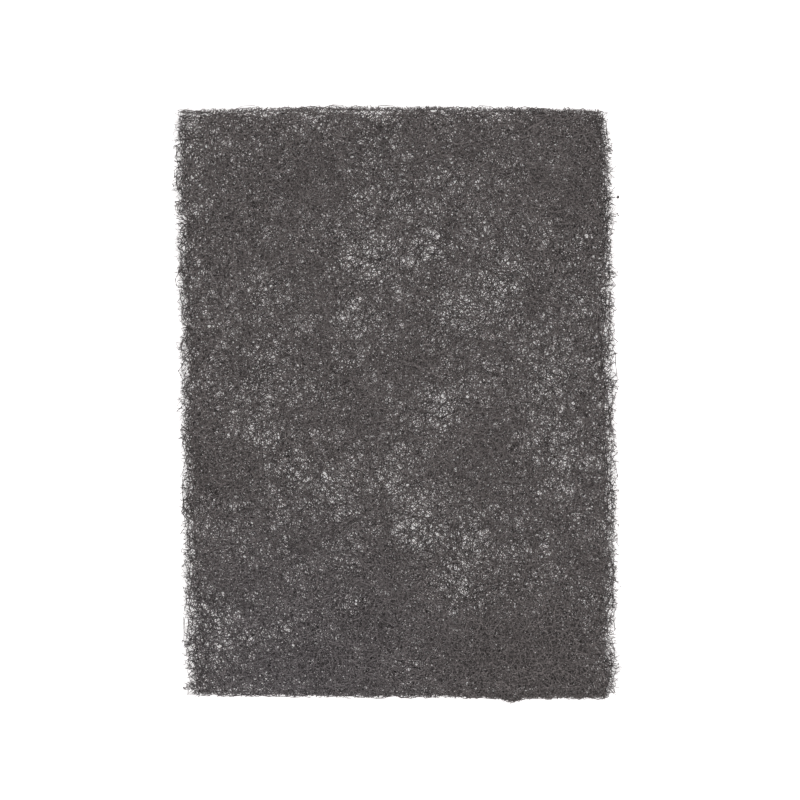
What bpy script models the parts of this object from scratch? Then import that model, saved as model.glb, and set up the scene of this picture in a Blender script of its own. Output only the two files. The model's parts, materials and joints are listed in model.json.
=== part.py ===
"""A non-woven hand pad: one thin, lofty web of bonded fibre that lies flat.

Lengths are in metres. The pad's length runs along Y, its width along X, and its
underside lies at Z = 0. Its two ends are cut, and its two long sides are loose, with
tufts of fibre standing out. Strands cross its top, which sinks in at thin places,
and the thin places hold the pores that go right through.
"""

import math
import random

import bmesh
import bpy
from mathutils import Vector, noise
from mathutils.kdtree import KDTree

# The pad's outline, measured at the middle of each side
LENGTH = 0.2240
WIDTH = 0.1640
LEFT_LEAN = 0.0048
RIGHT_LEAN = 0.0026
UPPER_BOW = 0.0012
LOWER_SLANT = 0.0014

# How far each corner is pulled in, and over what length, by (side, end)
UPPER_LEFT_CORNER = (0.0009, 0.0080)
UPPER_RIGHT_CORNER = (0.0044, 0.0320)
LOWER_LEFT_CORNER = (0.0022, 0.0060)
LOWER_RIGHT_CORNER = (0.0022, 0.0070)

# The web's loft, from its underside to the tops of its strands
THICKNESS = 0.0058
SWELL_DEPTH = 0.0006
SWELL_WAVE = 0.0340
NAP_DEPTH = 0.0009
NAP_WAVE = 0.0050
STRAND_HEIGHT = 0.0011
STRAND_REACH = 0.0027
STRAND_LENGTH = 0.0460
STRAND_STEP = 0.0015
STRAND_CURL = 0.16
STRAND_COUNT = 130

# The wall round the pad, widest part of the way up
EDGE_HEIGHT = 0.0023
EDGE_DROP = 0.0006
EDGE_INSET = 0.0012
SIDE_RAG = 0.0009
END_RAG = 0.0003
RAG_WAVE = 0.0070

# The cells of the web: a pore and the strand beside it make one cell, and each row
# of cells is shifted from the row below it
PORE_WIDTH = 0.0024
STRAND_WIDTH = 0.0014
CELL_STAGGER = 0.0009
CELL_SCATTER = 0.0007
PORE_COUNT = 110
PORE_SPREAD = 0.42
PORE_CHANCE = 0.45

# Thin places: across and along the pad as shares of its half width and half length,
# then how far each one reaches
THIN_DROP = 0.0010
THIN_PLACES = (
    (-0.91, 0.92, 0.0120),
    (0.48, 0.83, 0.0080),
    (-0.02, 0.67, 0.0060),
    (-0.81, 0.57, 0.0060),
    (-0.17, 0.51, 0.0100),
    (0.14, 0.51, 0.0080),
    (-0.56, 0.38, 0.0080),
    (0.43, 0.38, 0.0130),
    (0.28, 0.29, 0.0100),
    (-0.19, 0.30, 0.0090),
    (0.69, 0.07, 0.0100),
    (0.20, -0.02, 0.0110),
    (-0.68, -0.10, 0.0060),
    (0.72, -0.14, 0.0100),
    (-0.33, -0.18, 0.0090),
    (0.76, -0.23, 0.0080),
    (0.04, -0.28, 0.0100),
    (-0.25, -0.36, 0.0080),
    (0.10, -0.45, 0.0090),
    (0.32, -0.45, 0.0080),
    (0.27, -0.59, 0.0090),
    (0.32, -0.68, 0.0080),
    (-0.88, -0.69, 0.0100),
    (-0.91, -0.85, 0.0080),
)

# Tufts: the place along the side as a share of its half length, then how far out
LEFT_TUFTS = (
    (0.55, 0.0020),
    (0.17, 0.0016),
    (-0.59, 0.0022),
    (-0.81, 0.0020),
    (-0.87, 0.0026),
    (-0.96, 0.0028),
)
RIGHT_TUFTS = (
    (0.86, 0.0012),
    (0.63, 0.0024),
    (0.45, 0.0022),
    (0.06, 0.0026),
    (-0.31, 0.0018),
    (-0.69, 0.0016),
    (-0.89, 0.0028),
)
LOWER_TUFTS = ((0.53, 0.0015),)

SEED = 41
NOISE_LAYER_GAP = 7.3
FIBRE_COLOUR = (0.092, 0.082, 0.080, 1.0)
FIBRE_ROUGHNESS = 0.92

LEFT, RIGHT = -1, 1
LOWER, UPPER = -1, 1
LEANS = {LEFT: LEFT_LEAN, RIGHT: RIGHT_LEAN}
CORNERS = {
    (LEFT, UPPER): UPPER_LEFT_CORNER,
    (RIGHT, UPPER): UPPER_RIGHT_CORNER,
    (LEFT, LOWER): LOWER_LEFT_CORNER,
    (RIGHT, LOWER): LOWER_RIGHT_CORNER,
}


def clear_scene():
    """Remove every object, so that the file holds the pad alone."""
    for thing in list(bpy.data.objects):
        bpy.data.objects.remove(thing, do_unlink=True)


def wave(x, y, length, layer):
    """Smooth noise from 0 to 1 with bumps of about the given length."""
    value = noise.noise(Vector((x / length, y / length, NOISE_LAYER_GAP * layer)))
    return min(max(0.5 + value, 0.0), 1.0)


def side_x(side, y):
    """The x of a long side at y: it leans, and is pulled in towards its corners."""
    x = side * WIDTH / 2 - LEANS[side] * y / LENGTH
    for end in (LOWER, UPPER):
        pull, run = CORNERS[side, end]
        away = min(max((LENGTH / 2 - end * y) / run, 0.0), 1.0)
        x -= side * pull * (1 - away) ** 2
    return x


def end_y(end, x):
    """The y of a cut end at x: the upper one bows and the lower one slants."""
    across = 2 * x / WIDTH
    if end == UPPER:
        return LENGTH / 2 - UPPER_BOW * across * across
    return -LENGTH / 2 - LOWER_SLANT * across / 2


def place(across, along, inset):
    """The point at shares -1 to 1 across and along the outline less an inset."""
    rough_y = along * LENGTH / 2
    left, right = side_x(LEFT, rough_y), side_x(RIGHT, rough_y)
    x = (left + right) / 2 + across * ((right - left) / 2 - inset)
    lower, upper = end_y(LOWER, x), end_y(UPPER, x)
    y = (lower + upper) / 2 + along * ((upper - lower) / 2 - inset)
    return x, y


def thinness(x, y):
    """How thin the web is at a point, from 0 to 1."""
    most = 0.0
    for across, along, reach in THIN_PLACES:
        centre_x, centre_y = place(across, along, 0.0)
        away = math.hypot(x - centre_x, y - centre_y) / reach
        most = max(most, math.exp(-away * away))
    return most


def lay_strands(rng):
    """Scatter curling strands over the pad, as a tree of the points along them."""
    steps = max(2, round(STRAND_LENGTH / STRAND_STEP))
    tree = KDTree(STRAND_COUNT * steps)
    index = 0
    for _ in range(STRAND_COUNT):
        x, y = place(rng.uniform(-1, 1), rng.uniform(-1, 1), 0.0)
        heading = rng.uniform(0, 2 * math.pi)
        for _ in range(steps):
            tree.insert((x, y, 0.0), index)
            index += 1
            heading += rng.uniform(-STRAND_CURL, STRAND_CURL)
            x += STRAND_STEP * math.cos(heading)
            y += STRAND_STEP * math.sin(heading)
    tree.balance()
    return tree


def top_height(x, y, strands):
    """The height of the web's top: strands stand over its swells and its nap."""
    away = strands.find((x, y, 0.0))[2] / STRAND_REACH
    below_strand = min(away, 1.0) ** 2
    return (
        THICKNESS
        - SWELL_DEPTH * wave(x, y, SWELL_WAVE, 1)
        - NAP_DEPTH * wave(x, y, NAP_WAVE, 2)
        - STRAND_HEIGHT * below_strand
        - THIN_DROP * thinness(x, y)
    )


def cell_counts():
    """How many cells fit across and along the pad."""
    pitch = PORE_WIDTH + STRAND_WIDTH
    return max(4, round(WIDTH / pitch)), max(4, round(LENGTH / pitch))


def lattice_points(columns, rows, strands, rng):
    """The top point of each crossing of the cells, by (column, row)."""
    points = {}
    for row in range(rows + 1):
        for column in range(columns + 1):
            x, y = place(2 * column / columns - 1, 2 * row / rows - 1, EDGE_INSET)
            inside = 0 < column < columns and 0 < row < rows
            if inside:
                x += CELL_STAGGER if row % 2 else -CELL_STAGGER
                x += rng.uniform(-CELL_SCATTER, CELL_SCATTER)
                y += rng.uniform(-CELL_SCATTER, CELL_SCATTER)
            drop = 0.0 if inside else EDGE_DROP
            points[column, row] = Vector((x, y, top_height(x, y, strands) - drop))
    return points


def border_keys(columns, rows):
    """The crossings round the edge, anticlockwise from above."""
    lower = [(column, 0) for column in range(columns)]
    right = [(columns, row) for row in range(rows)]
    upper = [(column, rows) for column in range(columns, 0, -1)]
    left = [(0, row) for row in range(rows, 0, -1)]
    return lower + right + upper + left


def outline_points(keys, columns, rows):
    """The ragged widest line of the wall, by (column, row)."""
    points = {}
    for column, row in keys:
        x, y = place(2 * column / columns - 1, 2 * row / rows - 1, 0.0)
        out = 2 * wave(x, y, RAG_WAVE, 3) - 1
        if column in (0, columns):
            x += (RIGHT if column else LEFT) * SIDE_RAG * out
        if row in (0, rows):
            y += (UPPER if row else LOWER) * END_RAG * out
        points[column, row] = Vector((x, y, EDGE_HEIGHT))
    return points


def pull_tufts(points, columns, rows):
    """Pull out the points of the widest line that lie nearest to the tufts."""
    for side, tufts in ((LEFT, LEFT_TUFTS), (RIGHT, RIGHT_TUFTS)):
        edge = [points[columns if side == RIGHT else 0, row] for row in range(rows + 1)]
        for along, reach in tufts:
            y = along * LENGTH / 2
            min(edge, key=lambda point: abs(point.y - y)).x += side * reach
    lower_edge = [points[column, 0] for column in range(columns + 1)]
    for across, reach in LOWER_TUFTS:
        x = across * WIDTH / 2
        min(lower_edge, key=lambda point: abs(point.x - x)).y -= reach


def choose_pores(points, columns, rows, rng):
    """Choose the cells that hold a pore: the thinnest, and no two that touch."""
    scores = {}
    for row in range(1, rows - 1):
        for column in range(1, columns - 1):
            middle = (points[column, row] + points[column + 1, row + 1]) / 2
            scores[column, row] = thinness(middle.x, middle.y) + PORE_CHANCE * rng.random()
    chosen = set()
    for column, row in sorted(scores, key=scores.get, reverse=True):
        beside = {(column + i, row + j) for i in (-1, 0, 1) for j in (-1, 0, 1)}
        if len(chosen) < PORE_COUNT and not beside & chosen:
            chosen.add((column, row))
    return chosen


def cell_corners(column, row):
    """A cell's four crossings, anticlockwise from above."""
    return (
        (column, row),
        (column + 1, row),
        (column + 1, row + 1),
        (column, row + 1),
    )


def pore_points(corners, rng):
    """The four corners of a pore inside its cell, each one moved a little."""
    middle = sum(corners, Vector()) / 4
    share = PORE_WIDTH / (PORE_WIDTH + STRAND_WIDTH)
    points = []
    for corner in corners:
        grow = share * (1 + rng.uniform(-PORE_SPREAD, PORE_SPREAD))
        points.append(middle.lerp(corner, grow))
    return points


def add_pore(mesh, top, bottom, keys, rng):
    """Fill one cell with a ring above, a ring below and the pore's four walls."""
    mouth = [mesh.verts.new(p) for p in pore_points([top[k].co for k in keys], rng)]
    foot = [mesh.verts.new((v.co.x, v.co.y, 0.0)) for v in mouth]
    for i, key in enumerate(keys):
        j = (i + 1) % 4
        mesh.faces.new((top[key], top[keys[j]], mouth[j], mouth[i]))
        mesh.faces.new((bottom[keys[j]], bottom[key], foot[i], foot[j]))
        mesh.faces.new((mouth[i], mouth[j], foot[j], foot[i]))


def add_wall(mesh, keys, top, widest, bottom):
    """Close the pad round its edge, from the underside over the widest line."""
    for i, key in enumerate(keys):
        after = keys[(i + 1) % len(keys)]
        mesh.faces.new((bottom[key], bottom[after], widest[after], widest[key]))
        mesh.faces.new((widest[key], widest[after], top[after], top[key]))


def centre_on_base(mesh):
    """Move the pad so that the middle of its box's base is the origin."""
    xs = [v.co.x for v in mesh.verts]
    ys = [v.co.y for v in mesh.verts]
    middle = Vector((min(xs) + max(xs), min(ys) + max(ys), 0.0)) / 2
    bmesh.ops.translate(mesh, verts=mesh.verts, vec=-middle)


def web_mesh():
    """Make the pad's one closed mesh."""
    rng = random.Random(SEED)
    columns, rows = cell_counts()
    points = lattice_points(columns, rows, lay_strands(rng), rng)
    keys = border_keys(columns, rows)
    outline = outline_points(keys, columns, rows)
    pull_tufts(outline, columns, rows)
    pores = choose_pores(points, columns, rows, rng)

    mesh = bmesh.new()
    top = {key: mesh.verts.new(point) for key, point in points.items()}
    bottom = {key: mesh.verts.new((p.x, p.y, 0.0)) for key, p in points.items()}
    widest = {key: mesh.verts.new(point) for key, point in outline.items()}
    for row in range(rows):
        for column in range(columns):
            corners = cell_corners(column, row)
            if (column, row) in pores:
                add_pore(mesh, top, bottom, corners, rng)
            else:
                mesh.faces.new([top[key] for key in corners])
                mesh.faces.new([bottom[key] for key in reversed(corners)])
    add_wall(mesh, keys, top, widest, bottom)
    centre_on_base(mesh)
    bmesh.ops.triangulate(mesh, faces=mesh.faces)
    return mesh


def fibre_material():
    """Dark warm grey bonded fibre, quite matt."""
    material = bpy.data.materials.new("bonded_fibre")
    material.use_nodes = True
    shader = material.node_tree.nodes["Principled BSDF"]
    shader.inputs["Base Color"].default_value = FIBRE_COLOUR
    shader.inputs["Roughness"].default_value = FIBRE_ROUGHNESS
    shader.inputs["Metallic"].default_value = 0.0
    return material


def build():
    """Make the pad as one object."""
    clear_scene()
    mesh = web_mesh()
    data = bpy.data.meshes.new("hand_pad")
    mesh.to_mesh(data)
    mesh.free()
    data.materials.append(fibre_material())
    pad = bpy.data.objects.new("hand_pad", data)
    bpy.context.scene.collection.objects.link(pad)


build()
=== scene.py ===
"""Dresses a non-woven hand pad: a lofty web of crimped, bonded fibre, lying flat.

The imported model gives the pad's form: its outline, its loft and its thin places. The
web itself is made here, fibre by fibre, by one Geometry Nodes tree that is run once for
each layer of the web. Lengths are in metres, but spots, dips and tufts are listed in
millimetres.
"""

import json
import logging
import math
import random
from dataclasses import dataclass, field
from enum import Enum
from typing import Any

import bmesh
import bpy
import numpy as np
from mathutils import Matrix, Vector, noise
from mathutils.bvhtree import BVHTree

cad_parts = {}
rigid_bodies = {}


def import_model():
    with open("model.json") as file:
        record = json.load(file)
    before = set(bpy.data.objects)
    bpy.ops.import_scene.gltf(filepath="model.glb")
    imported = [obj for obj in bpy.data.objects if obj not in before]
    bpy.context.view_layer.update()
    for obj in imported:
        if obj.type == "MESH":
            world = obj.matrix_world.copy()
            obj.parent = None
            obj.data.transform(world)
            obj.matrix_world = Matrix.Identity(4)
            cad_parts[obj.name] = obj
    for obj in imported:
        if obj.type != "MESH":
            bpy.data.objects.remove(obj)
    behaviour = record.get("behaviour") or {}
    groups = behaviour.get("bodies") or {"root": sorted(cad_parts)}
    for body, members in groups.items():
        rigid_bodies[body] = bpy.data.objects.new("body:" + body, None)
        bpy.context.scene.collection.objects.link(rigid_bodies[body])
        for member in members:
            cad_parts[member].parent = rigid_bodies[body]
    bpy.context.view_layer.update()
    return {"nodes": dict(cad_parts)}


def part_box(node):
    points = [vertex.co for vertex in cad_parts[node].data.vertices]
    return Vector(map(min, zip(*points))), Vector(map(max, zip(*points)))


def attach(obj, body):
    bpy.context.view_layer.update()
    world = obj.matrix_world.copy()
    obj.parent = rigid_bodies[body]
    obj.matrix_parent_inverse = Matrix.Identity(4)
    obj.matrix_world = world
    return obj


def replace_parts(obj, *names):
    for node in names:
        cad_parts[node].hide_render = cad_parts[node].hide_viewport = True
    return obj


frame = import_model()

MM = 0.001
BODY = "root"
PAD_NODE = "hand_pad"
log = logging.getLogger("hand_pad")


def metres(*lengths: float) -> tuple[float, ...]:
    """Return lengths in metres that are given in millimetres."""
    return tuple(length * MM for length in lengths)


def operators(operation: str) -> tuple[Any, Any]:
    """Return the method for a Math node's operation, and its reflected form."""

    def plain(self: "Socket", other: Any) -> "Socket":
        """Return the operation on self and other."""
        return self._math(operation, self, other)

    def reflected(self: "Socket", other: Any) -> "Socket":
        """Return the operation on other and self."""
        return self._math(operation, other, self)

    return plain, reflected


class Socket:
    """One output of a node, which does arithmetic by adding Math nodes to its tree."""

    def __init__(self, nodes: "NodeMaker", socket: bpy.types.NodeSocket) -> None:
        """Keep the maker of the socket's tree and the output socket."""
        self.nodes = nodes
        self.socket = socket

    def _math(self, operation: str, *values: Any) -> "Socket":
        """Return the result of a Math node on one or two numbers or Sockets."""
        inputs = dict(enumerate(values))
        return self.nodes.add("ShaderNodeMath", {"operation": operation}, inputs)[0]

    __add__, __radd__ = operators("ADD")
    __sub__, __rsub__ = operators("SUBTRACT")
    __mul__, __rmul__ = operators("MULTIPLY")
    __truediv__, __rtruediv__ = operators("DIVIDE")
    __pow__ = operators("POWER")[0]
    most = operators("MAXIMUM")[0]
    least = operators("MINIMUM")[0]

    def __abs__(self) -> "Socket":
        """Return self without its sign."""
        return self._math("ABSOLUTE", self)

    def folded(self, low: "Socket", high: "Socket") -> "Socket":
        """Return self turned back inwards at each of two limits."""
        return high - abs(high - (low + abs(self - low)))


class Made:
    """A node that has been added, whose outputs are read by index or by name."""

    def __init__(self, nodes: "NodeMaker", node: bpy.types.Node) -> None:
        """Keep the maker and the node."""
        self.nodes = nodes
        self.node = node

    def __getitem__(self, key: int | str) -> Socket:
        """Return an output, by its index among those in use, its identifier or name."""
        return Socket(self.nodes, find_socket(self.node.outputs, key))


def find_socket(sockets: Any, key: int | str) -> bpy.types.NodeSocket:
    """Find a socket that is in use.

    Args:
        sockets: A node's inputs or outputs.
        key: An index among the sockets in use, an identifier or a name.

    Returns:
        The socket.
    """
    used = [socket for socket in sockets if socket.enabled]
    if isinstance(key, int):
        return used[key]
    by_identifier = (socket for socket in used if socket.identifier == key)
    return next(by_identifier, None) or next(socket for socket in used if socket.name == key)


class NodeMaker:
    """Adds nodes to one shader or Geometry Nodes tree."""

    def __init__(self, tree: bpy.types.NodeTree) -> None:
        """Keep the tree."""
        self.tree = tree

    def add(
        self,
        kind: str,
        settings: dict[str, Any] | None = None,
        inputs: dict[int | str, Any] | None = None,
    ) -> Made:
        """Add any node.

        Args:
            kind: The node's type.
            settings: Its properties, set before its sockets. For a Color Ramp,
                "stops" is a list of (position, colour).
            inputs: Values or Sockets for its inputs, by index, identifier or name.

        Returns:
            The node.
        """
        node = self.tree.nodes.new(kind)
        for name, value in (settings or {}).items():
            if name == "stops":
                self._set_stops(node.color_ramp.elements, value)
            else:
                setattr(node, name, value)
        for key, value in (inputs or {}).items():
            socket = find_socket(node.inputs, key)
            if isinstance(value, Socket):
                self.tree.links.new(value.socket, socket)
            else:
                socket.default_value = value
        return Made(self, node)

    @staticmethod
    def _set_stops(elements: Any, stops: list[tuple[float, tuple]]) -> None:
        """Give a Color Ramp its stops, by position and colour."""
        while len(elements) < len(stops):
            elements.new(1.0)
        for element, (position, colour) in zip(elements, stops):
            element.position = position
            element.color = colour

    def join(self, x: Any, y: Any, z: Any) -> Socket:
        """Return a vector of three numbers or Sockets."""
        return self.add("ShaderNodeCombineXYZ", None, {0: x, 1: y, 2: z})[0]

    def split(self, vector: Socket) -> tuple[Socket, Socket, Socket]:
        """Return the three parts of a vector."""
        parts = self.add("ShaderNodeSeparateXYZ", None, {0: vector})
        return parts[0], parts[1], parts[2]

    def vector(self, operation: str, first: Any, second: Any) -> Socket:
        """Return the result of a Vector Math node on two vectors."""
        return self.add(
            "ShaderNodeVectorMath", {"operation": operation}, {0: first, 1: second}
        )[0]

    def scaled(self, vector: Any, factor: Any) -> Socket:
        """Return a vector times a number."""
        return self.add(
            "ShaderNodeVectorMath", {"operation": "SCALE"}, {0: vector, "Scale": factor}
        )[0]


def placed(name: str, data: Any) -> bpy.types.Object:
    """Return a new object with some data, put in the scene."""
    made = bpy.data.objects.new(name, data)
    bpy.context.scene.collection.objects.link(made)
    return made


def new_material(name: str) -> tuple[bpy.types.Material, NodeMaker, bpy.types.Node]:
    """Return a new material, the maker of its tree and its Principled shader."""
    material = bpy.data.materials.new(name)
    material.use_nodes = True
    tree = material.node_tree
    return material, NodeMaker(tree), tree.nodes["Principled BSDF"]


def store(mesh: bpy.types.Mesh, name: str, values: Any) -> None:
    """Store a number or a vector at each point of a mesh, under a name."""
    values = np.array(values, dtype=np.float32)
    kind, part = ("FLOAT_VECTOR", "vector") if values.ndim > 1 else ("FLOAT", "value")
    mesh.attributes.new(name, kind, "POINT").data.foreach_set(part, values.ravel())


@dataclass(frozen=True)
class BondedFibre:
    """The finish of crimped synthetic fibre, coated in a dark bond with fine grit, with painted shade
    on the lower fibres of the web.

    Attributes:
        name: The material's name.
        deep: The colour of the darkest fibres.
        pale: The colour of the palest fibres.
        roughness: The bond's roughness, from its smooth to its gritty places.
        clump_size: The width of a clump of bond.
        grit_size: The width of a grain.
        grit_height: How far a grain stands out.
        grit_strength: How strongly the grains turn the light.
        specular: The strength of the bond's gloss.
        fibre_share: How much a fibre's own tone shows.
        depth_shade_share: How much darker the lower fibres of each layer are painted, as painted shade
            deep in the web; a loose hair's level is random.
        clump_share: How much the clumps show.
        grit_share: How much the grains show.
        rim_share: How much darker the fibres are along the pad's loose sides.
        middle: The place of the usual fibre between deep and pale.
        cool: The tint of the web where it is coolest.
        cool_place: Where that is.
        cool_reach: How far the cool patch reaches.
    """

    name: str
    deep: tuple[float, float, float] = (0.028, 0.024, 0.023)
    pale: tuple[float, float, float] = (0.300, 0.266, 0.261)
    roughness: tuple[float, float] = (0.62, 0.92)
    clump_size: float = 0.58 * MM
    grit_size: float = 0.12 * MM
    grit_height: float = 0.04 * MM
    grit_strength: float = 0.6
    specular: float = 0.35
    fibre_share: float = 0.25
    depth_shade_share: float = 0.35
    clump_share: float = 3.1
    grit_share: float = 0.6
    rim_share: float = 0.22
    middle: float = 0.41
    cool: tuple[float, float, float] = (0.98, 1.0, 1.06)
    cool_place: tuple[float, float, float] = (-45.0 * MM, -108.0 * MM, 0.0)
    cool_reach: float = 85.0 * MM

    def material(self) -> bpy.types.Material:
        """Return the material."""
        material, nodes, shader = new_material(self.name)
        place = nodes.add("ShaderNodeTexCoord")["Object"]
        tone, level, rim = (
            nodes.add("ShaderNodeAttribute", {"attribute_name": name})["Fac"]
            for name in ("tone", "level", "rim")
        )
        clump, grit = (
            nodes.add("ShaderNodeTexNoise", None, {"Vector": place, "Scale": 1 / size})[0]
            for size in (self.clump_size, self.grit_size)
        )
        # Painted shade: the lower a fibre lies in its layer, the darker it is painted, and the higher,
        # the paler.
        speckle = (
            (tone - 0.5) * self.fibre_share
            + (level - 0.5) * self.depth_shade_share
            + (clump - 0.5) * self.clump_share
            + (grit - 0.5) * self.grit_share
            - rim * self.rim_share
            + self.middle
        )
        colour = nodes.add(
            "ShaderNodeValToRGB",
            {"stops": [(0.0, (*self.deep, 1.0)), (1.0, (*self.pale, 1.0))]},
            {0: speckle},
        )[0]
        away = nodes.vector("DISTANCE", place, self.cool_place)
        settings = {"data_type": "RGBA", "blend_type": "MULTIPLY"}
        inputs = {
            "Factor_Float": (1 - away / self.cool_reach).most(0.0),
            "A_Color": colour,
            "B_Color": (*self.cool, 1.0),
        }
        colour = nodes.add("ShaderNodeMix", settings, inputs)["Result_Color"]
        grains = {
            "Strength": self.grit_strength,
            "Distance": self.grit_height,
            "Height": grit,
        }
        bump = nodes.add("ShaderNodeBump", None, grains)["Normal"]
        low, high = self.roughness
        rough = low + (high - low) * grit
        for name, socket in (("Base Color", colour), ("Roughness", rough), ("Normal", bump)):
            nodes.tree.links.new(socket.socket, shader.inputs[name])
        shader.inputs["Specular IOR Level"].default_value = self.specular
        return material


class Edge(Enum):
    """An edge of the pad, as its axis and its side: the long sides, then the cut ends."""

    LEFT = (0, -1)
    RIGHT = (0, 1)
    LOWER = (1, -1)
    UPPER = (1, 1)


class Band(Enum):
    """Where in the web's loft a layer lies, as its lowest and highest share of the loft."""

    UNDER = (0.00, 0.40)
    HEART = (0.12, 0.86)
    UPPER = (0.50, 0.98)
    NAP = (0.84, 1.03)


@dataclass(frozen=True)
class Spot:
    """A place where the web is thinner or thicker than usual.

    Attributes:
        across: Its place across the pad, as a share of the half width.
        along: Its place along the pad, as a share of the half length.
        reach: How far it reaches, in millimetres.
        change: How much of the web is added at its middle, below zero where it is thin.
    """

    across: float
    along: float
    reach: float
    change: float


THIN_PLACES = (
    Spot(-0.90, 0.92, 12, -0.27),
    Spot(0.48, 0.83, 8, -0.19),
    Spot(-0.08, 0.78, 8, -0.29),
    Spot(-0.02, 0.67, 6, -0.29),
    Spot(-0.17, 0.51, 9, -0.40),
    Spot(-0.09, 0.49, 6, -0.24),
    Spot(0.14, 0.51, 8, -0.45),
    Spot(-0.56, 0.38, 8, -0.27),
    Spot(0.46, 0.38, 10, -0.48),
    Spot(0.25, 0.27, 9, -0.45),
    Spot(-0.18, 0.30, 9, -0.35),
    Spot(0.68, 0.08, 9, -0.35),
    Spot(0.20, -0.01, 9, -0.43),
    Spot(-0.64, -0.10, 8, -0.27),
    Spot(0.69, -0.11, 8, -0.37),
    Spot(-0.35, -0.24, 9, -0.27),
    Spot(0.77, -0.22, 7, -0.24),
    Spot(0.04, -0.27, 8, -0.25),
    Spot(-0.25, -0.36, 8, -0.35),
    Spot(0.09, -0.44, 9, -0.45),
    Spot(0.31, -0.44, 7, -0.48),
    Spot(0.25, -0.58, 8, -0.38),
    Spot(0.31, -0.66, 7, -0.37),
    Spot(0.53, -0.66, 8, -0.19),
    Spot(-0.50, -0.76, 8, -0.21),
    Spot(-0.84, -0.70, 11, -0.46),
    Spot(-0.92, -0.84, 8, -0.13),
    Spot(-0.66, 0.10, 9, -0.31),
    Spot(-0.47, -0.22, 9, -0.24),
    Spot(0.78, 0.34, 12, -0.21),
    Spot(-0.08, 0.92, 8, -0.31),
    Spot(1.00, -0.87, 7, -0.48),
)
THICK_PLACES = (
    Spot(-0.21, 0.17, 8, 0.26),
    Spot(-0.14, -0.46, 7, 0.28),
    Spot(0.47, -0.86, 22, 0.75),
    Spot(-0.20, -0.86, 20, 0.45),
    Spot(0.76, -0.86, 14, 0.36),
    Spot(0.38, -0.08, 10, 0.40),
    Spot(0.40, -0.20, 10, 0.30),
    Spot(0.76, 0.80, 22, 0.36),
    Spot(0.06, 0.13, 9, 0.50),
    Spot(-0.24, 0.04, 12, 0.22),
    Spot(-0.80, -0.22, 14, 0.22),
    Spot(-0.80, -0.57, 8, 0.34),
    Spot(-0.80, 0.66, 9, 0.25),
    Spot(0.02, -0.60, 10, 0.34),
    Spot(0.60, 0.33, 8, 0.24),
    Spot(-0.42, 0.72, 14, 0.22),
    Spot(-0.40, 0.48, 9, 0.30),
    Spot(-0.61, -0.62, 8, 0.30),
    Spot(-0.36, 0.84, 9, 0.20),
    Spot(-0.72, 0.52, 9, 0.20),
)


@dataclass(frozen=True)
class Dip:
    """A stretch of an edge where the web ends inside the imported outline.

    Attributes:
        edge: The edge.
        along: The middle of the stretch, as a share of the half size.
        reach: How far the stretch reaches to either side, in millimetres.
        depth: How far inside the outline the web ends at its middle, in millimetres,
            below zero where it stands out of it.
    """

    edge: Edge
    along: float
    reach: float
    depth: float


DIPS = (
    Dip(Edge.LEFT, 0.94, 9.0, -0.2),
    Dip(Edge.LEFT, 0.61, 7.0, 0.6),
    Dip(Edge.LEFT, 0.26, 8.0, 1.2),
    Dip(Edge.LEFT, -0.19, 6.0, 1.2),
    Dip(Edge.LEFT, -0.75, 3.5, 0.4),
    Dip(Edge.LEFT, -0.90, 11.0, 1.5),
    Dip(Edge.RIGHT, 0.60, 6.0, 0.8),
    Dip(Edge.RIGHT, 0.94, 9.0, -1.1),
    Dip(Edge.RIGHT, -0.80, 14.0, 1.8),
    Dip(Edge.LOWER, 0.50, 3.6, -1.5),
)


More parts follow.
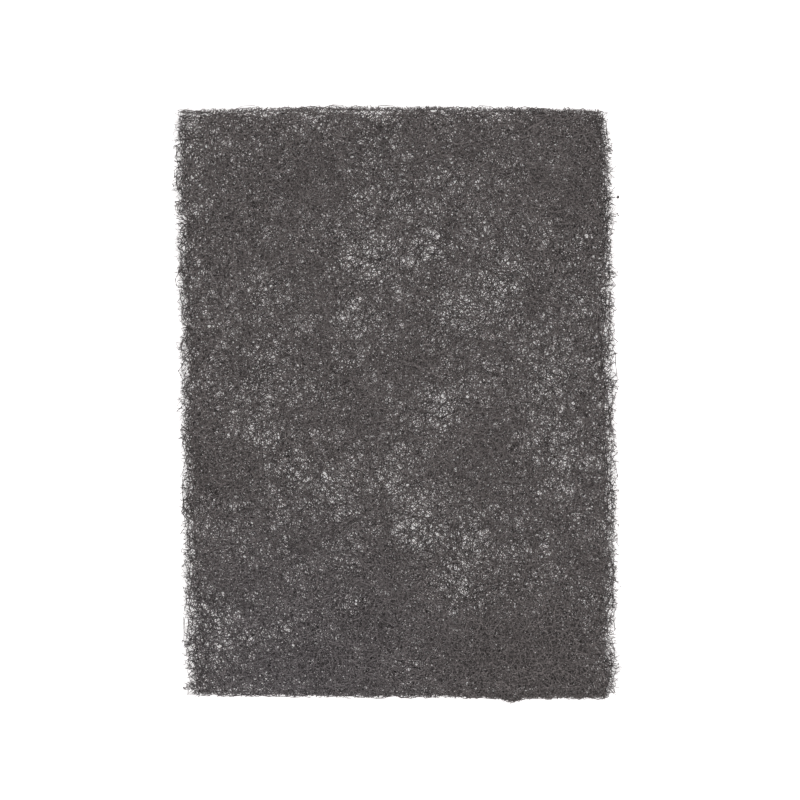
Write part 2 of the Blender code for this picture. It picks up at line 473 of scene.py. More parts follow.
@dataclass
class WebForm:
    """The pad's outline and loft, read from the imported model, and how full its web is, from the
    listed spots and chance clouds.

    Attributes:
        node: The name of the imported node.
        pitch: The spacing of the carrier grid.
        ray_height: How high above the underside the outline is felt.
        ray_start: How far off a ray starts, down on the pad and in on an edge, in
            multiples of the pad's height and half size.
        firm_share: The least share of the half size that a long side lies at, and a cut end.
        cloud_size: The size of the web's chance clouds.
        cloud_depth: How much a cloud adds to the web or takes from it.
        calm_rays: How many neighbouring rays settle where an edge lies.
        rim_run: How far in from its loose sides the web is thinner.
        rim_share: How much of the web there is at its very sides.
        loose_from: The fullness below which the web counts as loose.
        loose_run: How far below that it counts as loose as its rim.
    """

    node: str = PAD_NODE
    pitch: float = 2.0 * MM
    ray_height: float = 2.2 * MM
    ray_start: tuple[float, float] = (10.0, 2.0)
    firm_share: tuple[float, float] = (0.90, 0.965)
    cloud_size: float = 9.0 * MM
    cloud_depth: float = 0.12
    calm_rays: int = 7
    rim_run: float = 4.0 * MM
    rim_share: float = 0.60
    loose_from: float = 0.90
    loose_run: float = 0.50
    surface: BVHTree = field(init=False)
    low: Vector = field(init=False)
    high: Vector = field(init=False)
    lines: tuple[np.ndarray, np.ndarray] = field(init=False)
    outline: dict[Edge, np.ndarray] = field(init=False)

    def __post_init__(self) -> None:
        """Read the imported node's surface."""
        mesh = frame["nodes"][self.node].data
        points = [vertex.co.copy() for vertex in mesh.vertices]
        faces = [tuple(face.vertices) for face in mesh.polygons]
        self.surface = BVHTree.FromPolygons(points, faces)
        self.low, self.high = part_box(self.node)
        self.lines = tuple(
            np.linspace(low, high, math.ceil((high - low) / self.pitch) + 1)
            for low, high in zip(self.low[:2], self.high[:2])
        )
        self.outline = {edge: self.feel(edge) for edge in Edge}

    def loft(self, x: float, y: float) -> float:
        """Return the height of the web's top at a place, or of the nearest top to it."""
        above = Vector((x, y, self.ray_start[0] * self.high.z))
        hit = self.surface.ray_cast(above, Vector((0, 0, -1)))[0]
        if hit is None:
            hit = self.surface.find_nearest(Vector((x, y, self.high.z)))[0]
        return hit.z

    def feel(self, edge: Edge) -> np.ndarray:
        """Feel for one edge of the pad.

        A ray that meets no firm edge takes the place of the nearest one that does, and
        what stands out over only a few rays is left to the tufts.

        Args:
            edge: The edge.

        Returns:
            The edge's place on its axis, for each line of the grid that crosses it.
        """
        axis, sign = edge.value
        lines = self.lines[1 - axis]
        towards = Vector((0, 0, 0))
        towards[axis] = -sign
        places = []
        for line in lines:
            start = Vector((line, line, self.ray_height))
            start[axis] = sign * self.ray_start[1] * self.high[axis]
            hit = self.surface.ray_cast(start, towards)[0]
            places.append(hit[axis] if hit is not None else 0.0)
        places = np.array(places)
        known = np.abs(places) > self.firm_share[axis] * self.high[axis]
        places = np.interp(lines, lines[known], places[known])
        padded = np.pad(places, self.calm_rays // 2, "symmetric")
        calm = np.median(np.lib.stride_tricks.sliding_window_view(padded, self.calm_rays), 1)
        for dip in DIPS:
            if dip.edge is edge:
                reach, depth = metres(dip.reach, dip.depth)
                away = (lines - dip.along * self.high[1 - axis]) / reach
                calm -= sign * depth * np.exp(-(away**2))
        return calm

    def foot(self, edge: Edge, along: float) -> tuple[float, float]:
        """Return the outline's point at a place along an edge."""
        axis, _ = edge.value
        across = float(np.interp(along, self.lines[1 - axis], self.outline[edge]))
        return (across, along) if axis == 0 else (along, across)

    def span(self, edge: Edge) -> tuple[float, float]:
        """Return where an edge starts and ends, along its length."""
        if edge.value[0] == 0:
            x = self.outline[edge].mean()
            return self.foot(Edge.LOWER, x)[1], self.foot(Edge.UPPER, x)[1]
        y = self.outline[edge].mean()
        return self.foot(Edge.LEFT, y)[0], self.foot(Edge.RIGHT, y)[0]

    def fullness(self, x: float, y: float) -> float:
        """Return how full the web is at a place, 1 being usual."""
        full = 1 + self.cloud_depth * noise.noise(Vector((x, y, 0)) / self.cloud_size)
        for spot in (*THIN_PLACES, *THICK_PLACES):
            away = math.hypot(x - spot.across * self.high.x, y - spot.along * self.high.y)
            full *= 1 + spot.change * math.exp(-((away / (spot.reach * MM)) ** 2))
        return full

    def carrier(self) -> bpy.types.Object:
        """Make the grid that carries the fibres.

        Returns:
            An object with a flat grid over the pad's box. Its points hold "sides" (the
            outline's left and right x, and the loft), "ends" (its lower and upper y,
            and how loose the web is) and "density".
        """
        xs, ys = self.lines
        columns, rows = len(xs), len(ys)
        left, right, lower, upper = (self.outline[edge] for edge in Edge)
        mesh = bpy.data.meshes.new("carrier")
        shaper = bmesh.new()
        grid = [[shaper.verts.new((x, y, 0)) for x in xs] for y in ys]
        for below, above in zip(grid, grid[1:]):
            for i in range(columns - 1):
                shaper.faces.new((below[i], below[i + 1], above[i + 1], above[i]))
        shaper.to_mesh(mesh)
        shaper.free()
        x, y = (part.ravel() for part in np.meshgrid(xs, ys))
        loft = np.array([self.loft(*place) for place in zip(x, y)])
        sides = np.stack([np.repeat(left, columns), np.repeat(right, columns), loft], 1)
        full = np.array([self.fullness(*place) for place in zip(x, y)])
        loose = np.clip((self.loose_from - full) / self.loose_run, 0, 1)
        ends = np.stack([np.tile(lower, rows), np.tile(upper, rows), loose], 1)
        density = full * self.cover(x, y, sides, ends)
        for name, values in (("sides", sides), ("ends", ends), ("density", density)):
            store(mesh, name, values)
        return bpy.data.objects.new("carrier", mesh)

    def cover(
        self, x: np.ndarray, y: np.ndarray, sides: np.ndarray, ends: np.ndarray
    ) -> np.ndarray:
        """Return how much of the web the outline leaves at each place, 1 being all of it."""
        inward = np.minimum(x - sides[:, 0], sides[:, 1] - x)
        within = np.minimum(y - ends[:, 0], ends[:, 1] - y)
        rim = self.rim_share + (1 - self.rim_share) * np.clip(inward / self.rim_run, 0, 1)
        on_pad = np.clip(0.5 + np.minimum(inward, within) / self.pitch, 0, 1)
        return on_pad * rim


class CurveTree:
    """A Geometry Nodes tree that turns a carrier into crimped fibres.

    Attributes:
        NAME: The tree's name.
        NUMBERS: The inputs that are numbers, besides the seed and the count of points.
        WORKING: The attributes that the finished mesh has no need of.
        TUBE_SIDES: The sides of a fibre.
        LUMP_SIDES: The sides of a lump of bond.
        LUMP_RINGS: Its rings.
    """

    NAME = "fibres"
    NUMBERS: tuple[str, ...] = ()
    WORKING: tuple[str, ...] = ()
    TUBE_SIDES = 3
    LUMP_SIDES = 4
    LUMP_RINGS = 2

    def __init__(self) -> None:
        """Build the tree."""
        self.tree = bpy.data.node_groups.new(self.NAME, "GeometryNodeTree")
        self.nodes = NodeMaker(self.tree)
        self.ids: dict[str, str] = {}
        self._declare()
        self._lay()

    def _declare(self) -> None:
        """Give the tree its named inputs and its output."""
        inputs = {
            "Geometry": ("Geometry",),
            "Int": ("Seed", "Points"),
            "Float": self.NUMBERS,
            "Material": ("Material",),
        }
        face = self.tree.interface
        for kind, names in inputs.items():
            for name in names:
                made = face.new_socket(name, in_out="INPUT", socket_type=f"NodeSocket{kind}")
                self.ids[name] = made.identifier
        face.new_socket("Geometry", in_out="OUTPUT", socket_type="NodeSocketGeometry")
        self.given = self.nodes.add("NodeGroupInput")

    def _lay(self) -> None:
        """Link the tree, from the carrier to the mesh."""
        raise NotImplementedError

    def _random(self, low: float, high: float, salt: int, kind: str = "FLOAT") -> Socket:
        """Return a random value for each element.

        Args:
            low: The least value.
            high: The greatest value.
            salt: What tells this value from the tree's other ones.
            kind: FLOAT, or FLOAT_VECTOR for three values.
        """
        if kind == "FLOAT_VECTOR":
            low, high = (low, low, low), (high, high, high)
        inputs = {"Min": low, "Max": high, "Seed": self.given["Seed"] + salt}
        return self.nodes.add("FunctionNodeRandomValue", {"data_type": kind}, inputs)[0]

    def _named(self, name: str, kind: str = "FLOAT") -> Socket:
        """Return a named attribute."""
        return self.nodes.add(
            "GeometryNodeInputNamedAttribute", {"data_type": kind}, {"Name": name}
        )[0]

    def _line(self, start: float, end: float) -> Socket:
        """Return a straight curve along X with the given number of points."""
        ends = {"Start": (start, 0, 0), "End": (end, 0, 0)}
        line = self.nodes.add("GeometryNodeCurvePrimitiveLine", None, ends)[0]
        inputs = {"Curve": line, "Count": self.given["Points"]}
        return self.nodes.add("GeometryNodeResampleCurve", None, inputs)[0]

    def _wander(self, place: Socket, size: Socket, phase: Socket, reach: Socket) -> Socket:
        """Return a smooth chance offset.

        Args:
            place: Where the offset is wanted.
            size: The size of one wave of it.
            phase: What tells one fibre's offsets from another's.
            reach: How far an offset goes.
        """
        nodes = self.nodes
        spot = nodes.vector("ADD", nodes.scaled(place, 1 / size), phase)
        drift = nodes.add(
            "ShaderNodeTexNoise", None, {"Vector": spot, "Detail": 1.0, "Scale": 1.0}
        )
        return nodes.scaled(nodes.vector("SUBTRACT", drift["Color"], (0.5, 0.5, 0.5)), reach)

    def _lumps(self, curves: Socket, chosen: Socket, size: Socket) -> Socket:
        """Return lumps of bond, with a size on each axis, on chosen points of curves."""
        form = {"Segments": self.LUMP_SIDES, "Rings": self.LUMP_RINGS, "Radius": 0.5}
        lump = self.nodes.add("GeometryNodeMeshUVSphere", None, form)["Mesh"]
        turn = self._random(0, 2 * math.pi, 13, "FLOAT_VECTOR")
        turn = self.nodes.add("FunctionNodeEulerToRotation", None, {0: turn})[0]
        inputs = {"Points": curves, "Selection": chosen, "Instance": lump}
        inputs |= {"Rotation": turn, "Scale": size}
        return self.nodes.add("GeometryNodeInstanceOnPoints", None, inputs)[0]

    def _skin(self, fibres: Socket, width: Socket, grains: Socket) -> None:
        """Turn fibres with a width at each point into closed tubes, and add the grains."""
        add = self.nodes.add
        form = {"Resolution": self.TUBE_SIDES, "Radius": 0.5}
        ring = add("GeometryNodeCurvePrimitiveCircle", {"mode": "RADIUS"}, form)[0]
        inputs = {"Curve": fibres, "Profile Curve": ring, "Scale": width, "Fill Caps": True}
        tubes = add("GeometryNodeCurveToMesh", None, inputs)[0]
        smooth = add("GeometryNodeSetShadeSmooth", None, {0: tubes})[0]
        whole = add("GeometryNodeJoinGeometry", None, {0: smooth})
        self.tree.links.new(grains.socket, whole.node.inputs[0])
        solid = add("GeometryNodeRealizeInstances", None, {0: whole[0]})[0]
        inputs = {"Geometry": solid, "Material": self.given["Material"]}
        dressed = add("GeometryNodeSetMaterial", None, inputs)[0]
        add("NodeGroupOutput", None, {"Geometry": dressed})

    def grow(
        self, name: str, carrier: bpy.types.Object, values: dict[str, Any]
    ) -> bpy.types.Object:
        """Run the tree once.

        Args:
            name: The piece's name.
            carrier: The object that carries the fibres.
            values: A value for each of the tree's inputs.

        Returns:
            The fibres as one plain mesh, at the origin.
        """
        holder = placed("holder", carrier.data)
        modifier = holder.modifiers.new("fibres", "NODES")
        modifier.node_group = self.tree
        for key, value in values.items():
            modifier[self.ids[key]] = value
        bpy.context.view_layer.update()
        graph = bpy.context.evaluated_depsgraph_get()
        mesh = bpy.data.meshes.new_from_object(holder.evaluated_get(graph), depsgraph=graph)
        bpy.data.objects.remove(holder)
        for used in self.WORKING:
            if used in mesh.attributes:
                mesh.attributes.remove(mesh.attributes[used])
        mesh.name = name
        return placed(name, mesh)


class FibreTree(CurveTree):
    """The tree that lays one layer of crimped fibres in the web.

    Attributes:
        THICKEST: Half a fibre's greatest width, as a share of its usual width.
        LUMPIEST: Half a lump's greatest size, as a share of its usual size.
        FLATTEST: A lump's least size, as a share of its usual size.
        LENGTHS: A fibre's least and greatest length, as shares of its usual length.
        PHASES: How far the fibres' phases are strewn.
        TURNS: For each kind of edge a power. Above 1, the more fibres turn back at the
            very edge.
    """

    NAME = "fibre_layer"
    NUMBERS = (
        "Density",
        *("Length", "Width", "Bend", "Bend Size", "Crimp", "Low", "High", "Ripple"),
        *("Side Out", "Side In", "Lower Out", "Lower In", "Upper Out", "Upper In"),
        *("Rim Run", "Rim Thinning", "Grain Share", "Grain Rim Share", "Grain Size"),
    )
    WORKING = ("density", "sides", "ends", "inset", "phase", "id")
    THICKEST = 0.625
    LUMPIEST = 0.7
    FLATTEST = 0.6
    LENGTHS = (0.7, 1.3)
    PHASES = 100
    TURNS = {"Side": 1.0, "Lower": 3.0, "Upper": 2.0}

    def _store(
        self, geometry: Socket, name: str, value: Socket, kind: str, domain: str = "INSTANCE"
    ) -> Socket:
        """Return geometry that carries a named value."""
        settings = {"data_type": kind, "domain": domain}
        inputs = {"Geometry": geometry, "Name": name, "Value": value}
        return self.nodes.add("GeometryNodeStoreNamedAttribute", settings, inputs)[0]

    def _sample(self, name: str, place: Socket) -> tuple[Socket, Socket, Socket]:
        """Return the three parts of one of the carrier's values nearest to a place."""
        settings = {"data_type": "FLOAT_VECTOR"}
        inputs = {
            "Mesh": self.given["Geometry"],
            "Value": self._named(name, "FLOAT_VECTOR"),
            "Sample Position": place,
        }
        found = self.nodes.add("GeometryNodeSampleNearestSurface", settings, inputs)[0]
        return self.nodes.split(found)

    def _scatter(self) -> Socket:
        """Return the layer's fibres as straight curves, each with its own chances."""
        add, given = self.nodes.add, self.given
        settings = {"distribute_method": "RANDOM"}
        inputs = {
            "Mesh": given["Geometry"],
            "Density": given["Density"] * self._named("density"),
            "Seed": given["Seed"],
        }
        points = add("GeometryNodeDistributePointsOnFaces", settings, inputs)["Points"]
        inputs = {"Axis": (0, 0, 1), "Angle": self._random(0, 2 * math.pi, 1)}
        turn = add("FunctionNodeAxisAngleToRotation", None, inputs)[0]
        length = given["Length"] * self._random(*self.LENGTHS, 2)
        inputs = {
            "Points": points,
            "Instance": self._line(-0.5, 0.5),
            "Rotation": turn,
            "Scale": self.nodes.join(length, 1.0, 1.0),
        }
        fibres = add("GeometryNodeInstanceOnPoints", None, inputs)[0]
        for salt, name in enumerate(("tone", "level", "inset"), 3):
            fibres = self._store(fibres, name, self._random(0, 1, salt), "FLOAT")
        phase = self._random(0, self.PHASES, 6, "FLOAT_VECTOR")
        fibres = self._store(fibres, "phase", phase, "FLOAT_VECTOR")
        return add("GeometryNodeRealizeInstances", None, {0: fibres})[0]

    def _inset(self, edge: str) -> Socket:
        """Return how far in from an edge of the given kind each fibre turns back."""
        out = self.given[f"{edge} Out"]
        chance = self._named("inset") ** self.TURNS[edge]
        return chance * (self.given[f"{edge} In"] + out) - out

    def _crimp(self, fibres: Socket) -> Socket:
        """Return the fibres bent, crimped and kept inside the web's form."""
        nodes, given = self.nodes, self.given
        place = nodes.add("GeometryNodeInputPosition")[0]
        phase = self._named("phase", "FLOAT_VECTOR")
        bend = self._wander(place, given["Bend Size"], phase, given["Bend"])
        x, y, _ = nodes.split(nodes.vector("ADD", place, bend))
        flat = nodes.join(x, y, 0.0)
        left, right, loft = self._sample("sides", flat)
        lower, upper, loose = self._sample("ends", flat)
        side = self._inset("Side")
        x = x.folded(left + side, right - side) + given["Crimp"] * self._random(-1, 1, 7)
        y = y + given["Crimp"] * self._random(-1, 1, 10)
        y = y.folded(lower + self._inset("Lower"), upper - self._inset("Upper"))
        share = given["Low"] + (given["High"] - given["Low"]) * self._named("level")
        share = (share + given["Ripple"] * self._random(-1, 1, 8)).most(0.0)
        rest = (given["Width"] * self.THICKEST).most(given["Grain Size"] * self.LUMPIEST)
        z = rest + share * (loft - rest * 2)
        moved = nodes.join(x, y, z)
        fibres = nodes.add(
            "GeometryNodeSetPosition", None, {"Geometry": fibres, "Position": moved}
        )[0]
        inward = (x - left).least(right - x)
        rim = (1 - inward / given["Rim Run"]).most(loose).least(1.0)
        return self._store(fibres, "rim", rim, "FLOAT", "POINT")

    def _grains(self, fibres: Socket) -> Socket:
        """Return the lumps of bond and grit that sit on the fibres."""
        add, given = self.nodes.add, self.given
        share = given["Grain Share"] + given["Grain Rim Share"] * self._named("rim")
        settings = {"data_type": "FLOAT", "operation": "LESS_THAN"}
        inputs = {0: self._random(0, 1, 11), 1: share}
        chosen = add("FunctionNodeCompare", settings, inputs)[0]
        size = self._random(self.FLATTEST, 2 * self.LUMPIEST, 12, "FLOAT_VECTOR")
        lumps = self._lumps(fibres, chosen, self.nodes.scaled(size, given["Grain Size"]))
        return self._store(lumps, "tone", self._random(0, 1, 14), "FLOAT")

    def _lay(self) -> None:
        """Link the tree, from the carrier to the layer's mesh."""
        swell = self._random(2 * (1 - self.THICKEST), 2 * self.THICKEST, 9)
        swell = swell * (1 - self.given["Rim Thinning"] * self._named("rim"))
        fibres = self._crimp(self._scatter())
        self._skin(fibres, self.given["Width"] * swell, self._grains(fibres))


class HairTree(CurveTree):
    """The tree that grows one loose hair out of each point of its carrier.

    Attributes:
        PHASES: How far the phases of two hairs lie apart, for each metre between them.
        TAPER: How much finer a hair is at its tip.
        BEAD_FORM: A bead's size on each axis, as a share of its greatest.
    """

    NAME = "loose_hairs"
    NUMBERS = ("Curl", "Curl Size")
    PHASES = 900.0
    TAPER = 0.5
    BEAD_FORM = (1.0, 0.8, 0.7)
    WORKING = ("foot", "away", "width", "bead")

    def _lay(self) -> None:
        """Link the tree, from the hairs' feet to their mesh."""
        nodes, given = self.nodes, self.given
        feet = nodes.add("GeometryNodeMeshToPoints", None, {"Mesh": given["Geometry"]})[0]
        inputs = {"Points": feet, "Instance": self._line(0.0, 1.0)}
        hairs = nodes.add("GeometryNodeInstanceOnPoints", None, inputs)[0]
        hairs = nodes.add("GeometryNodeRealizeInstances", None, {0: hairs})[0]
        foot, away = (self._named(name, "FLOAT_VECTOR") for name in ("foot", "away"))
        run = nodes.add("GeometryNodeSplineParameter")["Factor"]
        place = nodes.vector("ADD", foot, nodes.scaled(away, run))
        phase = nodes.scaled(foot, self.PHASES)
        curl = self._wander(place, given["Curl Size"], phase, given["Curl"])
        x, y, z = nodes.split(nodes.vector("ADD", place, nodes.scaled(curl, run)))
        width, bead = self._named("width"), self._named("bead")
        moved = nodes.join(x, y, z.most(width).most(bead))
        hairs = nodes.add(
            "GeometryNodeSetPosition", None, {"Geometry": hairs, "Position": moved}
        )[0]
        tip = nodes.add(
            "GeometryNodeCurveEndpointSelection", None, {"Start Size": 0, "End Size": 1}
        )[0]
        beads = self._lumps(hairs, tip * bead, nodes.scaled(self.BEAD_FORM, bead))
        self._skin(hairs, width * (1 - self.TAPER * run), beads)


@dataclass
class FibreLayer:
    """One layer of the web.

    Attributes:
        name: The piece's name.
        band: Where in the loft the layer lies.
        fibres: About how many fibres it holds.
        width: A fibre's width.
        length: A fibre's length.
        seed: The layer's own seed.
        points: The points along a fibre.
        side_out: How far out of a long side the web is loose.
        bend: How far a fibre wanders, and over what length.
        crimp: How far each point of a fibre is moved.
        ripple: How far it is moved up or down, as a share of the loft.
        side_in: How far into a long side it is.
        lower_fringe: How far out of and how far into the lower cut end it is.
        upper_fringe: The same for the upper cut end.
        rim_run: How far in from a long side the web counts as its rim.
        rim_thinning: How much finer a fibre is there.
        grain_share: The share of a fibre's points that hold a lump of bond, and how
            much more of them do at the rim.
        grain_size: A lump's size.
    """

    name: str
    band: Band
    fibres: int
    width: float
    length: float
    seed: int
    points: int = 6
    side_out: float = 2.5 * MM
    bend: tuple[float, float] = (14.0 * MM, 9.0 * MM)
    crimp: float = 0.75 * MM
    ripple: float = 0.05
    side_in: float = 3.2 * MM
    lower_fringe: tuple[float, float] = (1.1 * MM, -0.4 * MM)
    upper_fringe: tuple[float, float] = (1.5 * MM, 1.9 * MM)
    rim_run: float = 4.5 * MM
    rim_thinning: float = 0.12
    grain_share: tuple[float, float] = (0.034, 0.340)
    grain_size: float = 0.48 * MM

    def make(
        self, tree: FibreTree, carrier: bpy.types.Object, finish: bpy.types.Material
    ) -> bpy.types.Object:
        """Make the layer as one plain mesh.

        Args:
            tree: The tree that lays the fibres.
            carrier: The grid that carries them.
            finish: Their material.

        Returns:
            The layer, at the origin.
        """
        values = {
            "Density": self.fibres / usual_area(carrier.data),
            "Seed": self.seed,
            "Length": self.length,
            "Width": self.width,
            "Points": self.points,
            "Crimp": self.crimp,
            "Ripple": self.ripple,
            "Side Out": self.side_out,
            "Side In": self.side_in,
            "Rim Run": self.rim_run,
            "Rim Thinning": self.rim_thinning,
            "Grain Size": self.grain_size,
            "Material": finish,
        }
        pairs = {
            ("Bend", "Bend Size"): self.bend,
            ("Low", "High"): self.band.value,
            ("Lower Out", "Lower In"): self.lower_fringe,
            ("Upper Out", "Upper In"): self.upper_fringe,
            ("Grain Share", "Grain Rim Share"): self.grain_share,
        }
        for names, numbers in pairs.items():
            values.update(zip(names, numbers))
        return tree.grow(self.name, carrier, values)


def usual_area(mesh: bpy.types.Mesh) -> float:
    """Return the carrier's area, each face weighed by its points' density."""
    density = np.zeros(len(mesh.vertices))
    mesh.attributes["density"].data.foreach_get("value", density)
    return sum(
        face.area * float(np.mean([density[i] for i in face.vertices]))
        for face in mesh.polygons
    )


@dataclass(frozen=True)
class Tuft:
    """Loose hairs that stand out of a stretch of one edge of the pad.

    The lengths are in millimetres.

    Attributes:
        edge: The edge that they stand out of.
        along: The middle of the stretch, as a share of the half size.
        spread: The length of the stretch.
        hairs: How many hairs there are.
        reach: How far out of the pad they end, at least and at most.
        width: Their least and greatest width.
        inset: How far inside the outline they start.
        turn: How far they lean to either side, in radians.
        rim: How much they count as the rim's fibres, which are darker.
        bead: The size of the lump of bond at the tip of each.
    """

    edge: Edge
    along: float
    spread: float
    hairs: int
    reach: tuple[float, float]
    width: tuple[float, float] = (0.20, 0.26)
    inset: float = 1.2
    turn: float = 0.9
    rim: float = 1.0
    bead: float = 0.0


TUFTS = (
    Tuft(Edge.LEFT, 0.95, 1.5, 4, (1.0, 1.8), (0.14, 0.20)),
    Tuft(Edge.LEFT, 0.727, 0.8, 5, (0.8, 1.8), (0.22, 0.30), turn=0.4),
    Tuft(Edge.LEFT, 0.55, 1.2, 6, (1.2, 2.4), (0.24, 0.32)),
    Tuft(Edge.LEFT, 0.18, 1.2, 4, (1.4, 2.6), (0.14, 0.22)),
    Tuft(Edge.LEFT, -0.57, 4.5, 9, (1.2, 3.0), (0.14, 0.26)),
    Tuft(Edge.LEFT, -0.79, 0.9, 8, (0.8, 1.8), (0.28, 0.36)),
    Tuft(Edge.LEFT, -0.85, 1.6, 6, (1.2, 2.4), (0.14, 0.22)),
    Tuft(Edge.LEFT, -0.945, 2.4, 8, (1.8, 3.8), (0.22, 0.30), turn=0.4),
    Tuft(Edge.RIGHT, 0.86, 0.8, 7, (0.8, 1.8), (0.28, 0.34)),
    Tuft(Edge.RIGHT, 0.80, 5.0, 9, (0.8, 1.8), (0.14, 0.22)),
    Tuft(Edge.RIGHT, 0.69, 0.8, 7, (1.4, 2.4), (0.28, 0.34)),
    Tuft(Edge.RIGHT, 0.63, 1.0, 7, (2.0, 3.2), (0.24, 0.30)),
    Tuft(Edge.RIGHT, 0.45, 2.6, 9, (1.2, 2.8), (0.20, 0.30)),
    Tuft(Edge.RIGHT, 0.07, 4.6, 12, (1.2, 3.2), (0.20, 0.30)),
    Tuft(Edge.RIGHT, -0.29, 1.0, 6, (1.0, 2.0), (0.26, 0.32)),
    Tuft(Edge.RIGHT, -0.88, 5.0, 12, (1.6, 4.2), (0.12, 0.20)),
    Tuft(Edge.LOWER, 0.50, 5.0, 20, (-0.4, 0.2), (0.24, 0.30)),
)
BEADED_HAIRS = (
    Tuft(Edge.LEFT, 0.739, 0.4, 2, (1.5, 2.1), turn=0.1, bead=1.0),
    Tuft(Edge.LEFT, -0.798, 0.6, 2, (1.6, 2.2), turn=0.2, bead=0.8),
    Tuft(Edge.LEFT, -0.949, 0.9, 3, (2.6, 4.2), turn=0.2, bead=1.0),
    Tuft(Edge.RIGHT, 0.701, 0.1, 1, (2.8, 3.0), (0.32, 0.34), turn=0.1, bead=1.6),
    Tuft(Edge.RIGHT, 0.630, 1.0, 2, (2.6, 3.4), turn=0.3, bead=0.9),
    Tuft(Edge.RIGHT, 0.440, 1.0, 2, (1.2, 2.4), turn=0.4, bead=0.7),
    Tuft(Edge.RIGHT, 0.060, 1.2, 2, (1.6, 2.6), turn=0.4, bead=0.8),
    Tuft(Edge.RIGHT, -0.290, 0.4, 1, (1.4, 1.8), turn=0.2, bead=0.8),
    Tuft(Edge.RIGHT, -0.870, 1.0, 2, (1.2, 1.8), turn=0.4, bead=0.7),
)
SIDES = (Edge.LEFT, Edge.RIGHT)
SIDE_FUZZ = tuple(Tuft(side, 0.0, 220.0, 420, (0.4, 2.2), (0.10, 0.34)) for side in SIDES)
SIDE_ENDS = tuple(Tuft(side, 0.0, 222.0, 190, (-1.8, 0.2), (0.24, 0.40), 3.6) for side in SIDES)
CUT_ENDS = (
    Tuft(Edge.UPPER, 0.0, 166.0, 1060, (0.1, 1.1), (0.20, 0.30), inset=0.7, turn=0.9, rim=0.2),
    Tuft(Edge.LOWER, 0.0, 166.0, 1080, (-0.35, 0.05), (0.20, 0.30), inset=1.4, turn=0.7, rim=0.2),
)
CORNER_ENDS = (
    Tuft(Edge.UPPER, -0.950, 8.0, 12, (-0.8, 0.4), (0.22, 0.32), 2.4, 0.4),
    Tuft(Edge.LEFT, 0.960, 8.0, 12, (-1.2, 0.2), (0.22, 0.32), 3.0, 0.4),
    Tuft(Edge.RIGHT, 0.930, 9.0, 16, (-1.6, 0.0), (0.22, 0.32), 3.0, 0.4),
    Tuft(Edge.LOWER, 0.930, 6.0, 10, (-0.8, -0.1), (0.22, 0.32), 2.4, 0.4),
    Tuft(Edge.RIGHT, -0.960, 8.0, 20, (-1.4, 0.0), (0.22, 0.32), 3.4, 0.4),
)


@dataclass(frozen=True)
class Hairs:
    """Loose hairs that stand out round the pad.

    Attributes:
        name: The piece's name.
        tufts: Where they stand.
        seed: The hairs' seed.
        points: The points along a hair.
        curl: How far a hair's tip curls, and over what length.
        lift: The least and the greatest height at which a hair starts.
        margin: How near to an edge's end a hair may start.
    """

    name: str
    tufts: tuple[Tuft, ...]
    seed: int
    points: int
    curl: tuple[float, float]
    lift: tuple[float, float] = (0.6 * MM, 3.6 * MM)
    margin: float = 0.8 * MM

    def feet(self, form: WebForm) -> bpy.types.Object:
        """Return an object whose points hold what the hairs' tree and finish read."""
        chance = random.Random(self.seed)
        hairs = [
            self.hair(form, chance, tuft, (index + chance.random()) / tuft.hairs)
            for tuft in self.tufts
            for index in range(tuft.hairs)
        ]
        mesh = bpy.data.meshes.new("feet")
        mesh.from_pydata([hair[0] for hair in hairs], [], [])
        names = ("foot", "away", "width", "tone", "level", "rim", "bead")
        for name, values in zip(names, zip(*hairs)):
            store(mesh, name, values)
        return bpy.data.objects.new("feet", mesh)

    def hair(self, form: WebForm, chance: random.Random, tuft: Tuft, run: float) -> tuple:
        """Return one hair's foot, whole run, width, tone, level, rim and bead.

        Args:
            form: The pad's form.
            chance: Where the hair's chances come from.
            tuft: The tuft that it belongs to.
            run: How far along the tuft it stands, from 0 to 1.
        """
        axis, sign = tuft.edge.value
        start, end = form.span(tuft.edge)
        middle = tuft.along * form.high[1 - axis]
        spread, inset, bead = metres(tuft.spread, tuft.inset, tuft.bead)
        first = max(middle - spread / 2, start + self.margin)
        last = min(middle + spread / 2, end - self.margin)
        along = first + (last - first) * run
        foot = Vector((*form.foot(tuft.edge, along), chance.uniform(*self.lift)))
        foot[axis] -= sign * inset
        lean = chance.uniform(-tuft.turn, tuft.turn)
        out = inset + chance.uniform(*metres(*tuft.reach))
        away = Vector((0, 0, 0))
        away[axis] = sign * out
        away[1 - axis] = out * math.tan(lean)
        width = chance.uniform(*metres(*tuft.width))
        tone, level = chance.random(), chance.random()
        return tuple(foot), tuple(away), width, tone, level, tuft.rim, bead

    def make(
        self, tree: HairTree, form: WebForm, finish: bpy.types.Material
    ) -> bpy.types.Object:
        """Return the hairs, grown by the tree round the pad, as one plain mesh."""
        feet = self.feet(form)
        values = {
            "Seed": self.seed,
            "Points": self.points,
            "Curl": self.curl[0],
            "Curl Size": self.curl[1],
            "Material": finish,
        }
        piece = tree.grow(self.name, feet, values)
        bpy.data.objects.remove(feet)
        return piece


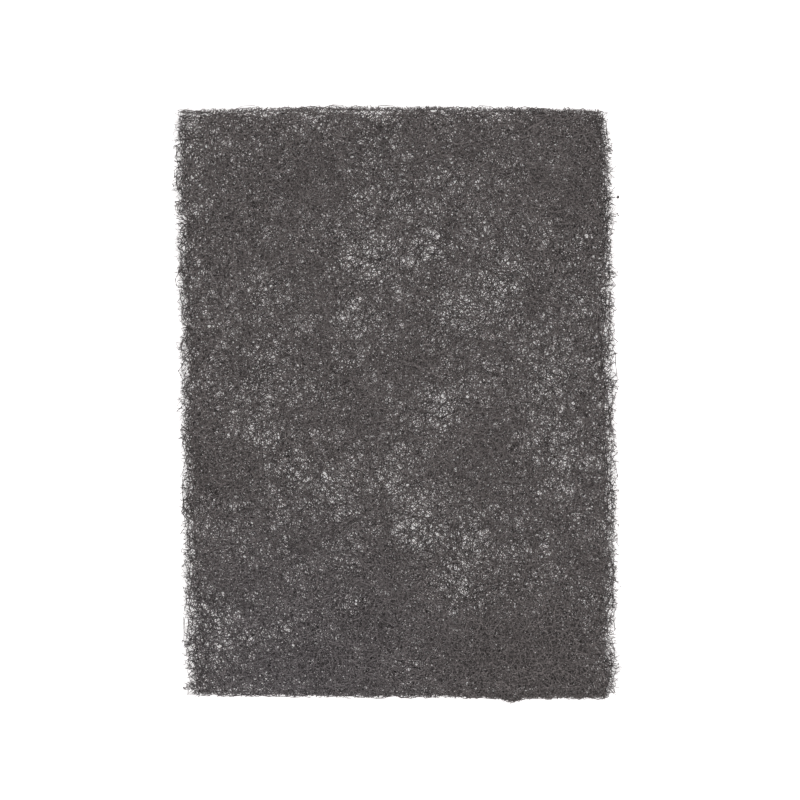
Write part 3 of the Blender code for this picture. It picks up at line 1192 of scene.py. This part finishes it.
@dataclass
class Web:
    """The pad's web, as layers of fibre, and its loose hairs."""

    layers: tuple[FibreLayer, ...] = (
        FibreLayer("web_under", Band.UNDER, 6150, 0.31 * MM, 20.5 * MM, 11, 5, 2.0 * MM),
        FibreLayer("web_heart", Band.HEART, 6550, 0.30 * MM, 18.5 * MM, 12, 5, 2.0 * MM),
        FibreLayer("web_upper", Band.UPPER, 5500, 0.32 * MM, 12.0 * MM, 13),
        FibreLayer("web_nap", Band.NAP, 5560, 0.29 * MM, 10.0 * MM, 14),
        FibreLayer("web_fine", Band.HEART, 5560, 0.29 * MM, 13.0 * MM, 15),
    )
    hairs: tuple[Hairs, ...] = (
        Hairs("loose_hairs", TUFTS + SIDE_FUZZ, 21, points=5, curl=(5.0 * MM, 1.6 * MM)),
        Hairs("beaded_hairs", BEADED_HAIRS, 23, points=5, curl=(1.0 * MM, 1.6 * MM)),
        Hairs("cut_ends", SIDE_ENDS + CUT_ENDS + CORNER_ENDS, 22, points=3, curl=(1.0 * MM, 1.6 * MM)),
    )

    def make(self, form: WebForm, finish: BondedFibre) -> list[bpy.types.Object]:
        """Make every layer.

        Args:
            form: The pad's form.
            finish: The fibres' finish.

        Returns:
            The layers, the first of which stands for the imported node.
        """
        carrier = form.carrier()
        tree = FibreTree()
        material = finish.material()
        pieces = [layer.make(tree, carrier, material) for layer in self.layers]
        bpy.data.objects.remove(carrier)
        hair_tree = HairTree()
        pieces += [hairs.make(hair_tree, form, material) for hairs in self.hairs]
        for piece in pieces:
            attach(piece, BODY)
            log.info("%s: %d triangles", piece.name, triangles(piece.data))
        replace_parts(pieces[0], form.node)
        return pieces


def triangles(mesh: bpy.types.Mesh) -> int:
    """Return how many triangles a mesh's faces make."""
    return sum(len(face.vertices) - 2 for face in mesh.polygons)


@dataclass
class Studio:
    """The floor, the light and the camera.

    Attributes:
        floor_size: The side of the floor.
        floor_colour: The floor's colour.
        floor_glow: How strongly the camera sees the floor besides its lit colour.
        glow_colour: The colour of that glow, warm as light that passed the web.
        sky: The strength of the even light from all round.
        lamp_power: The power of each soft lamp, in watts.
        lamp_size: The side of each lamp.
        lamp_places: Where the lamps stand.
        lens: The camera's lens, in millimetres.
        sensor: The width of its sensor, in millimetres.
        view_width: How much of the floor the picture takes in.
        view_centre: The place in the middle of the picture.
    """

    floor_size: float = 4.0
    floor_colour: tuple[float, float, float] = (0.86, 0.86, 0.86)
    floor_glow: float = 0.60
    glow_colour: tuple[float, float, float] = (1.0, 0.96, 0.955)
    sky: float = 0.55
    lamp_power: float = 7.0
    lamp_size: float = 0.9
    lamp_places: tuple[tuple[float, float, float], ...] = (
        (-0.8, 0.7, 1.5),
        (0.9, 0.5, 1.4),
        (0.1, -1.0, 1.5),
    )
    lens: float = 100.0
    sensor: float = 36.0
    view_width: float = 0.3037
    view_centre: tuple[float, float] = (0.42 * MM, 1.74 * MM)

    def build(self, top: float) -> None:
        """Set up the floor, the light and the camera, for a pad with its top at a height."""
        self.lay_floor()
        self.light()
        self.aim(top)
        bpy.context.scene.view_settings.view_transform = "Standard"

    def lay_floor(self) -> None:
        """Lay a plain pale floor that keeps the pad's shadow."""
        half = self.floor_size / 2
        mesh = bpy.data.meshes.new("floor")
        corners = [(-half, -half, 0), (half, -half, 0), (half, half, 0), (-half, half, 0)]
        mesh.from_pydata(corners, [], [(0, 1, 2, 3)])
        mesh.materials.append(self.floor_material())
        floor = placed("floor", mesh)

    def floor_material(self) -> bpy.types.Material:
        """Return the floor's material, which seems white to the camera and to gloss."""
        material, nodes, shader = new_material("floor")
        values = {
            "Base Color": (*self.floor_colour, 1.0),
            "Roughness": 1.0,
            "Specular IOR Level": 0.0,
            "Emission Color": (*self.glow_colour, 1.0),
        }
        for name, value in values.items():
            shader.inputs[name].default_value = value
        glow = self.seen(nodes) * self.floor_glow
        nodes.tree.links.new(glow.socket, shader.inputs["Emission Strength"])
        return material

    @staticmethod
    def seen(nodes: NodeMaker) -> Socket:
        """Return 1 for rays from the camera, by way of gloss or glass too, and 0 for others."""
        path = nodes.add("ShaderNodeLightPath")
        seen = path["Is Camera Ray"].most(path["Is Glossy Ray"])
        return seen.most(path["Is Transmission Ray"])

    def light(self) -> None:
        """Light the pad evenly and softly, and make what lies past the floor white."""
        world = bpy.data.worlds.new("studio")
        bpy.context.scene.world = world
        world.use_nodes = True
        nodes = NodeMaker(world.node_tree)
        shade = world.node_tree.nodes["Background"]
        strength = self.sky + (1 - self.sky) * self.seen(nodes)
        nodes.tree.links.new(strength.socket, shade.inputs["Strength"])
        shade.inputs["Color"].default_value = (1.0, 1.0, 1.0, 1.0)
        for index, place in enumerate(self.lamp_places):
            lamp = bpy.data.lights.new(f"lamp_{index}", "AREA")
            lamp.energy = self.lamp_power
            lamp.size = self.lamp_size
            holder = placed(lamp.name, lamp)
            holder.location = place
            holder.rotation_euler = Vector(place).to_track_quat("Z", "Y").to_euler()

    def aim(self, top: float) -> None:
        """Look straight down on a pad with its top at a height."""
        camera = bpy.data.cameras.new("camera")
        camera.lens = self.lens
        camera.sensor_width = self.sensor
        holder = placed("camera", camera)
        height = top + self.view_width * self.lens / self.sensor
        holder.location = (*self.view_centre, height)
        bpy.context.scene.camera = holder


def main() -> None:
    """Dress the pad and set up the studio."""
    logging.basicConfig(level=logging.INFO, format="%(message)s")
    form = WebForm()
    pieces = Web().make(form, BondedFibre("bonded_fibre"))
    total = sum(triangles(piece.data) for piece in pieces)
    log.info("%d pieces, %d triangles", len(pieces), total)
    Studio().build(form.high.z)


if __name__ == "__main__":
    main()
